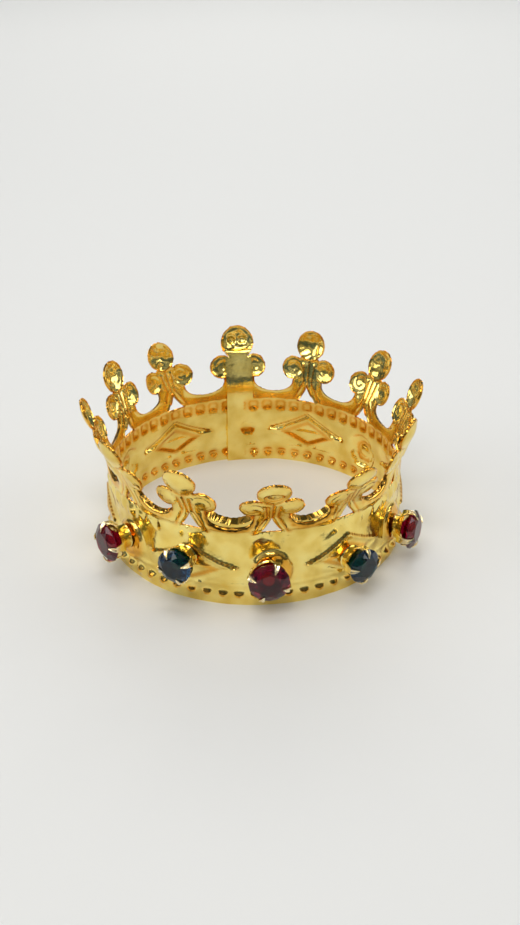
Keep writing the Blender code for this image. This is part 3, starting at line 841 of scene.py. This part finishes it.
def lap_shift(u):
    """How far inwards the lap moves the outer and the inner face."""
    local = u - LAP_UNIT * PITCH
    reached = (local > -PITCH / 2) & (local <= LAP_HALF_WIDTH + SAME)
    fade = (local + PITCH / 2) / (PITCH / 2 - LAP_HALF_WIDTH - LAP_STEP)
    inner = np.where(reached, STEM_SHEET * np.clip(fade, 0.0, 1.0), 0.0)
    outer = np.where(local < -LAP_HALF_WIDTH - LAP_STEP + SAME, inner, 0.0)
    return outer, inner


# The turned-in edge, by the valley it lies in, counted in fleurons from the front
FLANGES = {11.5: 0.0022, 0.5: 0.0016, 10.5: 0.0009}
FLANGE = 0.0008
FLANGE_LEAST = 0.0005
FLANK_ROWS = 4
DROPS = {11.5: 0.0011, 0.5: 0.0006}
DROP = 0.0003
DROP_REACH = 0.0024
VALLEY_TOP = 0.0235
VALLEY_FADE = 0.0030
DEEP_FLANK = 0.0006             # deeper turned-in edges than this get the darker painted shade
# Painted shade on the walls of the cut edge, darker on the deep ones, lighter at the foot
FLANK_SHADE = 0.45
DEEP_FLANK_SHADE = 0.9
FOOT_SHADE = 0.1
RAGGED_HEIGHT = 0.0215          # above this the cut edge is more ragged
RAGGED = 0.00012
RAGGED_LOW = 0.00003
FLANK_DENT = 0.00026
RIM_DIP = 0.00020
RIM_DIP_HALF_WIDTH = 0.0008
SHARP_ANGLE = 50


def flange_depth(u, v):
    """How deep the cut edge is turned in: deepest under the valleys."""
    between = np.round(u / PITCH - 0.5) + 0.5
    depth = np.array([FLANGES.get(float(b) % UNITS, FLANGE) for b in between])
    valley = smooth((VALLEY_TOP - v) / VALLEY_FADE) * (v > BAND_HEIGHT + 0.0015)
    return FLANGE_LEAST + (depth - FLANGE_LEAST) * valley


def front_drop(u, v, edge):
    """How far the outer face's upper edge rolls down in the valleys."""
    between = np.round(u / PITCH - 0.5) + 0.5
    drop = np.array([DROPS.get(float(b) % UNITS, DROP) for b in between])
    valley = smooth((VALLEY_TOP - v) / VALLEY_FADE) * smooth((v - BAND_HEIGHT + 0.0010) / 0.0010)
    away = np.abs(u - between * PITCH)
    drop = drop * valley * smooth((SCROLL_HALF_WIDTH + 0.0010 - away) / 0.0015)
    return drop * (1 - smooth(edge / DROP_REACH))


def flat_triangles():
    """The flat strip's points and triangles, finer in the cresting than in the band."""
    drawing = draw_strip()
    line_tree = tree_of(drawing.points)
    grids = ((0.0, BAND_HEIGHT, BAND_GRID), (BAND_HEIGHT, TOP_LOBE_HEIGHT + LAP_LOBE_RADIUS, CREST_GRID))
    flat = [Vector(p) for p in drawing.points]
    for bottom, top, spacing in grids:
        points = grid_points(bottom, top, spacing)
        points = points[inside_strip(points[:, 0], points[:, 1])]
        clear = nearest(line_tree, points[:, 0], points[:, 1]) > LINE_CLEARANCE * spacing
        flat += [Vector(p) for p in points[clear].tolist()]
    points, _, faces, _, _, _ = delaunay_2d_cdt(flat, drawing.edges, [], 0, SAME / 10)
    faces = np.array([f for f in faces if len(f) == 3])
    points = np.array([tuple(p) for p in points])
    middles = points[faces].mean(1)
    faces = faces[inside_strip(middles[:, 0], middles[:, 1])]
    used = np.unique(faces)
    renumber = np.full(len(points), -1)
    renumber[used] = np.arange(len(used))
    return points[used], renumber[faces]


def joined_ends(u, v, faces):
    """The strip closed to a ring: its last column of points is the first one again."""
    columns = {round(v[i] / SAME): i for i in np.flatnonzero(np.abs(u - START) < SAME)}
    twin = np.arange(len(u))
    for i in np.flatnonzero(np.abs(u - END) < SAME):
        twin[i] = columns[round(v[i] / SAME)]
    return twin[faces]


def open_edges(faces):
    """The edges that only one triangle has, in the order they come."""
    border = {}
    for a, b, c in faces.tolist():
        for first, last in ((a, b), (b, c), (c, a)):
            if (last, first) in border:
                del border[(last, first)]
            else:
                border[(first, last)] = True
    return list(border)


def strip_mesh(places, triangles, shades):
    mesh = bpy.data.meshes.new("gilded_strip")
    mesh.from_pydata(np.concatenate(places).tolist(), [], triangles)
    # The painted shade, one value to each point of the strip
    shade = mesh.attributes.new("painted_shade", "FLOAT", "POINT")
    shade.data.foreach_set("value", np.concatenate(shades).astype(np.float32))
    whole = bmesh.new()
    whole.from_mesh(mesh)
    loose = [vert for vert in whole.verts if not vert.link_faces]
    bmesh.ops.delete(whole, geom=loose, context="VERTS")
    whole.to_mesh(mesh)
    whole.free()
    mesh.shade_smooth()
    mesh.set_sharp_from_angle(angle=math.radians(SHARP_ANGLE))
    return mesh


def build_strip():
    points, faces = flat_triangles()
    u, v = points[:, 0], points[:, 1]
    edge = nearest(tree_of(whole_strip(edge_lines, EDGE_STEP / 2)), u, v)
    crease = nearest(tree_of(whole_strip(crease_lines, EDGE_STEP / 2)), u, v)
    volute = nearest(tree_of(whole_strip(volute_lines, EDGE_STEP / 2)), u, v)
    height, upper, painted_shade = strip_relief(u, v, edge, crease, volute, False)
    inner_height, inner_painted_shade = inner_relief(u, v, edge, crease, volute)
    outer_shift, inner_shift = lap_shift(u)
    beads_shown = OUTER_BEADS + (SIDE_BEADS - OUTER_BEADS) * from_worn(u)
    height += beads_shown * upper - RIM_DIP * half_round(v - BAND_HEIGHT, RIM_DIP_HALF_WIDTH)
    faces = joined_ends(u, v, faces)
    border = open_edges(faces)
    rim = np.array(sorted({i for pair in border for i in pair}))
    on_crest = v[rim] > SAME

    # The cut edge is a little ragged and turned in
    count = len(u)
    ragged = np.where(v[rim] > RAGGED_HEIGHT, RAGGED, RAGGED_LOW)
    along = u.copy()
    u, v = u.copy(), v.copy()
    u[rim] += ragged * uneven(along[rim], v[rim], 0.0005, 61.0)
    v[rim] += np.where(on_crest, ragged * uneven(along[rim], v[rim], 0.0005, 71.0), 0.0)
    dropped = v - front_drop(u, v, edge)
    depth = flange_depth(u[rim], v[rim])
    serrated = 1 + 0.10 * uneven(u[rim], v[rim], 0.0004, 5.0)
    thick = np.full(count, SHEET)
    thick[rim] = np.where(on_crest, depth * serrated, SHEET)
    under_relief = inner_height - inner_shift - thick
    turned_in = height[rim] - inner_shift[rim] - thick[rim]
    under_relief[rim] = np.where(on_crest, turned_in, under_relief[rim])
    places = [rolled(u, dropped, height - outer_shift), rolled(u, v, under_relief)]
    shades = [painted_shade, inner_painted_shade]

    # Rows of points down the cut edge, from the outer face to the inner one
    ladder = [{int(i): int(i) for i in rim}]
    mottle = np.where(on_crest, FLANK_DENT, 0.0)
    # Painted shade down the walls of the cut edge
    flank_shade = np.where(depth > DEEP_FLANK, DEEP_FLANK_SHADE, FLANK_SHADE)
    for row in range(1, FLANK_ROWS):
        share = row / FLANK_ROWS
        offset = (height[rim] - outer_shift[rim]) * (1 - share) + under_relief[rim] * share
        dent = mottle * uneven(u[rim], v[rim] + 0.0006 * row, 0.0006, 83.0)
        level = dropped[rim] * (1 - share) + v[rim] * share
        places.append(rolled(u[rim], level + dent, offset))
        shades.append(np.where(on_crest, flank_shade, FOOT_SHADE))
        ladder.append({int(i): 2 * count + (row - 1) * len(rim) + n for n, i in enumerate(rim)})
    ladder.append({int(i): int(i) + count for i in rim})
    triangles = faces.tolist() + (faces[:, ::-1] + count).tolist()
    for first, last in border:
        for above, below in zip(ladder, ladder[1:]):
            triangles.append((above[last], above[first], below[first]))
            triangles.append((above[last], below[first], below[last]))
    strip = bpy.data.objects.new("gilded_strip", strip_mesh(places, triangles, shades))
    bpy.context.scene.collection.objects.link(strip)
    return strip


# Settings and stones, each built round its own axis, local +Z outwards

def lathe(mesh, profile_points, sides):
    rings = []
    for radius, height in profile_points:
        corners = []
        for side in range(sides):
            angle = 2 * math.pi * side / sides
            corners.append(mesh.verts.new((radius * math.cos(angle), radius * math.sin(angle), height)))
        rings.append(corners)
    for lower, upper in zip(rings, rings[1:]):
        for side in range(sides):
            after = (side + 1) % sides
            mesh.faces.new((lower[side], lower[after], upper[after], upper[side]))
    mesh.faces.new(list(reversed(rings[0])))
    mesh.faces.new(rings[-1])
    return rings


CLAWS = 4
BOSS_TOP = {"red": 0.0009, "blue": 0.0007}
STEM_RADIUS = 0.0025
GAP = 0.0003
STEM_LENGTH = 0.0010
CUP_DEPTH = 0.0021
GIRDLE_ABOVE_CUP = 0.0010


def girdle_height(extra):
    return STEM_LENGTH + extra + CUP_DEPTH + GIRDLE_ABOVE_CUP


def setting_mesh(stone_radius, extra):
    """A stem, a small cup and four long claws that fold over the stone."""
    mesh = bmesh.new()
    girdle = girdle_height(extra)
    stem_top = STEM_LENGTH + extra
    cup = 0.90 * stone_radius
    lathe(mesh, ((0.0027, 0.0), (0.0025, 0.0002), (0.0025, 0.0005), (0.0025, stem_top),
                 (0.0028, stem_top + 0.0005), (0.0032, stem_top + 0.0009), (cup, stem_top + 0.0015),
                 (cup - 0.0003, stem_top + 0.0015), (0.0026, stem_top + 0.0008)), 40)
    for vert in mesh.verts:
        around = Vector((vert.co.x, vert.co.y, 0.0)).normalized()
        vert.co += around * 0.00012 * noise.noise(vert.co / 0.0012)
    for claw in range(CLAWS):
        angle = 2 * math.pi * claw / CLAWS
        grow_claw(mesh, angle, cup, stem_top + 0.0010, stone_radius, girdle)
    return mesh


def grow_claw(mesh, angle, cup, foot, stone_radius, girdle):
    """A long pointed claw with a raised edge on each side and a pale worn tip."""
    outward = Vector((math.cos(angle), math.sin(angle), 0.0))
    across = Vector((-math.sin(angle), math.cos(angle), 0.0))
    rise = Vector((0.0, 0.0, 1.0))
    # Distance out, height, half width, thickness, and how far the claw has turned over the stone
    stations = ((cup - 0.0003, foot - 0.0003, 0.0012, 0.00030, 0.0),
                (cup + 0.0001, foot + 0.0004, 0.0010, 0.00030, 0.0),
                (stone_radius + 0.00002, girdle - 0.0006, 0.0007, 0.00028, 0.0),
                (stone_radius + 0.00004, girdle + 0.0002, 0.00058, 0.00028, 0.3),
                (stone_radius - 0.0005, girdle + 0.00075, 0.00040, 0.00026, 0.8),
                (stone_radius - 0.0014, girdle + 0.00115, 0.00008, 0.00016, 1.0))
    before = None
    for number, (radius, height, half_width, thick, lean) in enumerate(stations):
        centre = outward * radius + rise * height
        out = (outward * (1 - lean) + rise * lean).normalized()
        corners = [mesh.verts.new(centre + across * half_width * side + out * thick * depth)
                   for side, depth in ((-1, 0.0), (1, 0.0), (1.05, 0.9), (0.72, 1.15), (0.0, 0.55),
                                       (-0.72, 1.15), (-1.05, 0.9))]
        if before:
            for n in range(len(corners)):
                after = (n + 1) % len(corners)
                face = mesh.faces.new((before[n], before[after], corners[after], corners[n]))
                face.material_index = 1 if number > 1 else 0
        else:
            mesh.faces.new(list(reversed(corners)))
        before = corners
    mesh.faces.new(before).material_index = 1


# The cut: share of the radius and height of each ring of corners
FACETS = 8
TABLE = (0.58, 0.00125)
KITE = (0.80, 0.00085)
GIRDLE_HALF = 0.00012
PAVILION = (0.52, -0.0018)
CULET = -0.0030


def stone_mesh(radius):
    """A round brilliant cut, girdle on the origin, table towards +Z."""
    mesh = bmesh.new()

    def ring(share, height, sides, turn):
        return [mesh.verts.new((radius * share * math.cos(2 * math.pi * (n + turn) / sides),
                                radius * share * math.sin(2 * math.pi * (n + turn) / sides), height))
                for n in range(sides)]

    table = ring(*TABLE, FACETS, 0.0)
    kite = ring(*KITE, FACETS, 0.5)
    high = ring(1.0, GIRDLE_HALF, 2 * FACETS, 0.0)
    low = ring(1.0, -GIRDLE_HALF, 2 * FACETS, 0.0)
    pavilion = ring(*PAVILION, FACETS, 0.5)
    culet = mesh.verts.new((0, 0, CULET))
    mesh.faces.new(table)
    for n in range(FACETS):
        after = (n + 1) % FACETS
        left, middle, right = high[2 * n], high[2 * n + 1], high[(2 * n + 2) % (2 * FACETS)]
        mesh.faces.new((table[n], kite[n], table[after]))
        mesh.faces.new((table[n], left, kite[n]))
        mesh.faces.new((left, middle, kite[n]))
        mesh.faces.new((middle, right, kite[n]))
        mesh.faces.new((kite[n], right, table[after]))
        left, middle, right = low[2 * n], low[2 * n + 1], low[(2 * n + 2) % (2 * FACETS)]
        mesh.faces.new((middle, left, pavilion[n]))
        mesh.faces.new((right, middle, pavilion[n]))
        mesh.faces.new((pavilion[n], left, pavilion[n - 1]))
        mesh.faces.new((pavilion[n - 1], culet, pavilion[n]))
    for n in range(2 * FACETS):
        after = (n + 1) % (2 * FACETS)
        mesh.faces.new((low[n], low[after], high[after], high[n]))
    bmesh.ops.recalc_face_normals(mesh, faces=mesh.faces[:])
    return mesh


def seat(fleuron, turn, height, distance):
    angle = 2 * math.pi * fleuron / UNITS + math.radians(turn)
    outward = Vector((math.sin(angle), -math.cos(angle), 0.0))
    along = Vector((math.cos(angle), math.sin(angle), 0.0))
    place = outward * distance + Vector((0, 0, height)) + CENTRE
    turned = Matrix((along, Vector((0, 0, 1)), outward)).transposed()
    return Matrix.Translation(place) @ turned.to_4x4()


def finished(name, mesh, finishes, smooth_angle):
    data = bpy.data.meshes.new(name)
    mesh.to_mesh(data)
    mesh.free()
    for finish in finishes:
        data.materials.append(finish)
    thing = bpy.data.objects.new(name, data)
    bpy.context.scene.collection.objects.link(thing)
    if smooth_angle:
        data.shade_smooth()
        data.set_sharp_from_angle(angle=math.radians(smooth_angle))
    return thing


def place_mesh(thing, matrix):
    thing.data.transform(matrix)


def add_stone(name, fleuron, glass, turn, height, extra, first_claw, gilt, pale, glasses):
    radius = STONE_RADIUS[glass]
    widest = float(profile(np.array([height - STEM_RADIUS]), 0.01)[0][0])
    base = widest + BOSS_TOP[glass] + GAP
    claw_turn = Matrix.Rotation(math.radians(first_claw), 4, "Z")
    setting = finished("claw_setting_" + name, setting_mesh(radius, extra), (gilt, pale), 40)
    place_mesh(setting, seat(fleuron, turn, height, base) @ claw_turn)
    stone = finished("cut_stone_" + name, stone_mesh(radius), (glasses[glass],), 0)
    place_mesh(stone, seat(fleuron, turn, height, base + girdle_height(extra)))
    for piece, node, slot in ((setting, "setting_" + name, "gilt_brass"),
                              (stone, "stone_" + name, glass + "_glass")):
        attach(piece, BODY)
        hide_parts(node)


# Camera, floor and light; the camera's values come from a least-squares fit to the photo

FOCAL_PIXELS = 1324.2
IMAGE_WIDTH, IMAGE_HEIGHT = 520, 925
CAMERA_AZIMUTH = -5.95          # degrees, towards -X
CAMERA_ELEVATION = 30.887
CAMERA_ROLL = 0.761
CAMERA_DISTANCE = 0.30196       # from the middle of the ring's foot
FOOT_PIXEL = (254.1, 523.9)     # where the middle of the ring's foot shows
SENSOR = 36.0
FLOOR_HALF_WIDTH = 0.85


def add_camera():
    elevation = math.radians(CAMERA_ELEVATION)
    roll = math.radians(CAMERA_ROLL)
    back = Vector((0, -math.cos(elevation), math.sin(elevation)))
    right = Vector((1, 0, 0))
    axes = Matrix((right, back.cross(right), -back))
    pan = math.atan2(FOOT_PIXEL[0] - IMAGE_WIDTH / 2, FOCAL_PIXELS)
    nod = math.atan2(FOOT_PIXEL[1] - IMAGE_HEIGHT / 2, FOCAL_PIXELS)
    nodding = Matrix(((1, 0, 0), (0, math.cos(nod), -math.sin(nod)), (0, math.sin(nod), math.cos(nod))))
    panning = Matrix(((math.cos(pan), 0, math.sin(pan)), (0, 1, 0), (-math.sin(pan), 0, math.cos(pan))))
    rolling = Matrix(((math.cos(roll), -math.sin(roll), 0), (math.sin(roll), math.cos(roll), 0), (0, 0, 1)))
    view = rolling @ panning @ nodding @ axes
    turned = Matrix((view[0], view[1], -Vector(view[2]))).transposed()
    azimuth = Matrix.Rotation(math.radians(CAMERA_AZIMUTH), 3, "Z")
    data = bpy.data.cameras.new("camera")
    camera = bpy.data.objects.new("camera", data)
    bpy.context.scene.collection.objects.link(camera)
    place = azimuth @ (back * CAMERA_DISTANCE) + CENTRE
    camera.matrix_world = Matrix.Translation(place) @ (azimuth @ turned).to_4x4()
    data.sensor_width = SENSOR
    data.lens = FOCAL_PIXELS / max(IMAGE_WIDTH, IMAGE_HEIGHT) * SENSOR
    data.clip_start = 0.01
    bpy.context.scene.camera = camera


def add_floor():
    mesh = bmesh.new()
    bmesh.ops.create_grid(mesh, x_segments=1, y_segments=1, size=FLOOR_HALF_WIDTH)
    made, nodes, links, shader = new_material("floor")
    shader.inputs["Base Color"].default_value = (0.80, 0.79, 0.77, 1.0)
    shader.inputs["Roughness"].default_value = 0.6
    finished("floor", mesh, (made,), 0)


def add_area(name, place, target, size, power, colour):
    data = bpy.data.lights.new(name, "AREA")
    data.shape = "RECTANGLE"
    data.size, data.size_y = size
    data.energy = power
    data.color = colour
    light = bpy.data.objects.new(name, data)
    light.location = place
    light.rotation_euler = (Vector(target) - Vector(place)).to_track_quat("-Z", "Y").to_euler()
    bpy.context.scene.collection.objects.link(light)


def add_world():
    """A dim room for the metal to reflect, dark overhead with a few pale streaks; plain behind the floor."""
    world = bpy.data.worlds.new("studio")
    bpy.context.scene.world = world
    world.use_nodes = True
    nodes, links = world.node_tree.nodes, world.node_tree.links
    background = nodes["Background"]
    place = nodes.new("ShaderNodeTexCoord").outputs["Generated"]
    parts = nodes.new("ShaderNodeSeparateXYZ")
    links.new(place, parts.inputs["Vector"])
    streaks = add_noise(nodes, links, place, 4.0, 3.0)
    add = nodes.new("ShaderNodeMath")
    add.operation = "MULTIPLY_ADD"
    links.new(streaks, add.inputs[0])
    add.inputs[1].default_value = 0.5
    links.new(parts.outputs["Z"], add.inputs[2])
    sky = add_ramp(nodes, links, add.outputs["Value"], (
        (0.20, (0.70, 0.68, 0.62)), (0.30, (0.30, 0.26, 0.18)), (0.40, (0.05, 0.13, 0.24)),
        (0.60, (0.09, 0.09, 0.09)), (0.68, (0.75, 0.75, 0.72)), (0.78, (0.08, 0.12, 0.16)),
        (0.95, (0.45, 0.46, 0.46)), (1.0, (0.04, 0.06, 0.07))))
    links.new(sky, background.inputs["Color"])
    background.inputs["Strength"].default_value = 0.8
    plain = nodes.new("ShaderNodeBackground")
    plain.inputs["Color"].default_value = (0.78, 0.78, 0.76, 1.0)
    seen = nodes.new("ShaderNodeLightPath")
    either = nodes.new("ShaderNodeMixShader")
    links.new(seen.outputs["Is Camera Ray"], either.inputs["Fac"])
    links.new(background.outputs["Background"], either.inputs[1])
    links.new(plain.outputs["Background"], either.inputs[2])
    links.new(either.outputs["Shader"], nodes["World Output"].inputs["Surface"])


add_camera()
add_floor()
add_world()
add_area("key", (-0.15, -0.42, 0.75), (0, 0, 0.01), (0.50, 0.30), 2.6, (1.0, 0.99, 0.96))
add_area("top", (0.0, 0.05, 1.00), (0, 0, 0), (0.50, 0.40), 2.6, (1.0, 0.99, 0.97))
add_area("left", (-0.75, -0.10, 0.45), (0, 0, 0.01), (0.60, 0.35), 1.6, (1.0, 1.0, 1.0))
add_area("right", (0.75, 0.0, 0.45), (0, 0, 0.01), (0.60, 0.35), 1.5, (1.0, 1.0, 1.0))
add_area("back", (0.10, 0.80, 0.45), (0, 0.15, 0.0), (0.80, 0.25), 2.6, (1.0, 1.0, 0.98))
bpy.context.scene.view_settings.view_transform = "Standard"

gilt = gilt_material()
pale = pale_material()
glasses = {glass: glass_material(glass) for glass in GLASS_COLOURS}
strip = build_strip()
strip.data.materials.append(gilt)
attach(strip, BODY)
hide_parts("crown_strip")
for stone in STONES:
    add_stone(*stone, gilt, pale, glasses)
